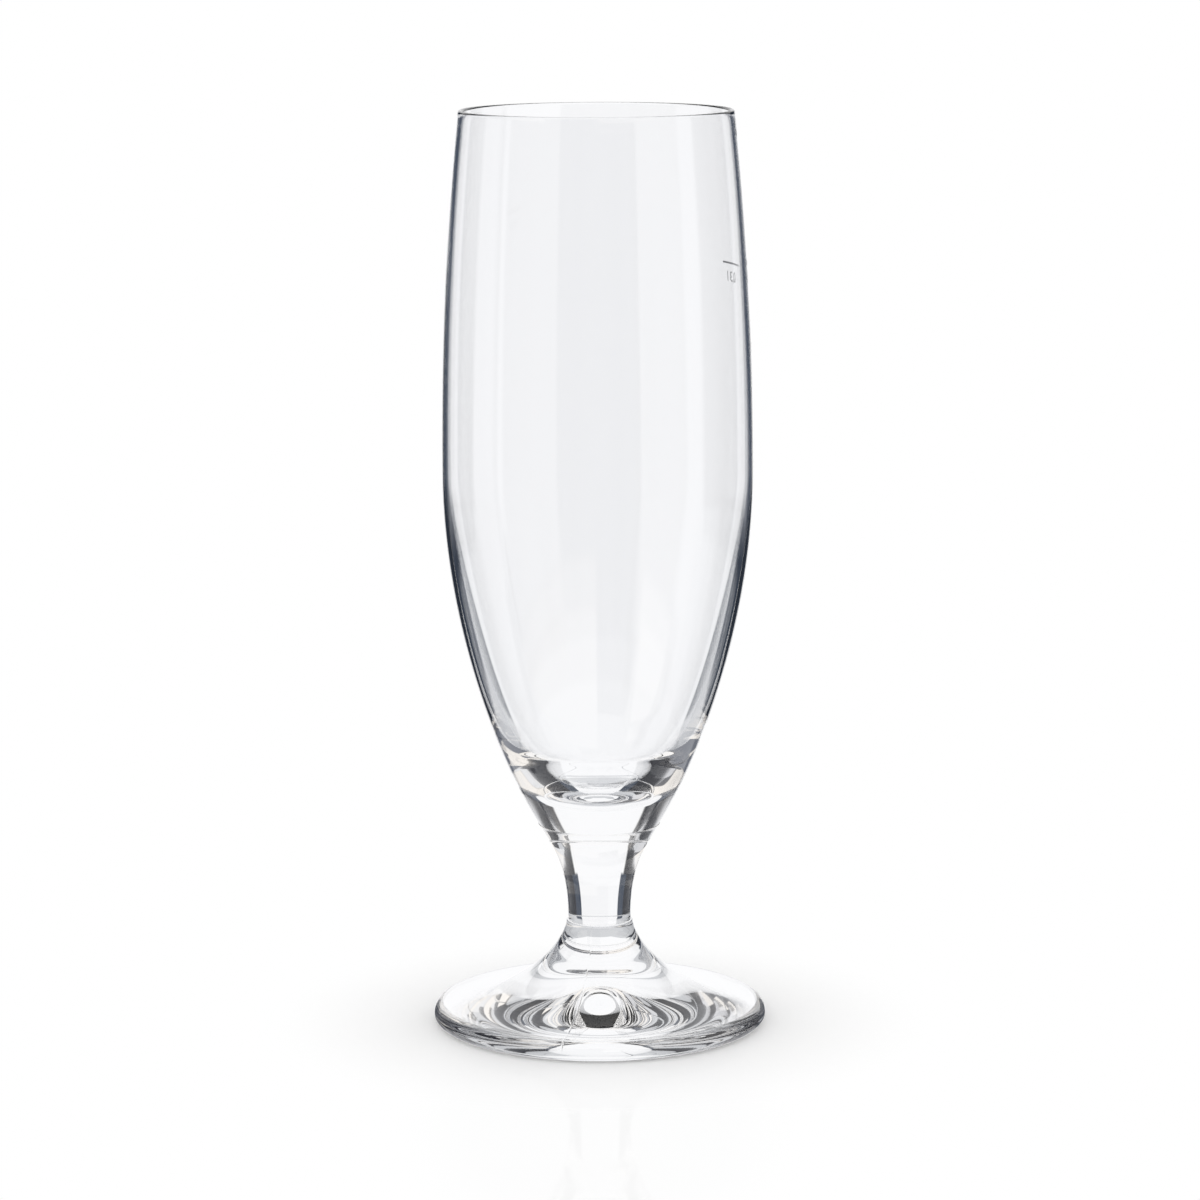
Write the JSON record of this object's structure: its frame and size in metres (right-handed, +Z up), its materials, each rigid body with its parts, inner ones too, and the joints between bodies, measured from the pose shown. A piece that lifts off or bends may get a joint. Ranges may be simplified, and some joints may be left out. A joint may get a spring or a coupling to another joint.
{
  "type": "pilsner glass",
  "caption": "Tall footed beer glass: bellied bowl with a thick glass base, short waisted stem, round pressed foot hollow underneath, and an enamel fill line near the rim.",
  "frame": {"origin": "on the table, under the middle of the foot", "axes": "+Z up along the glass's axis, -Y towards the viewer, the fill line to the right and behind, towards +X and +Y"},
  "size_m": [0.0738, 0.0738, 0.202],
  "materials": {
    "clear_glass": "clear soda-lime glass, fire polished",
    "enamel": "fired grey enamel, satin"
  },
  "bodies": {
    "root": {"bowl": "clear_glass", "stem": "clear_glass", "foot": "clear_glass", "fill_line": "enamel"}
  },
  "joints": []
}
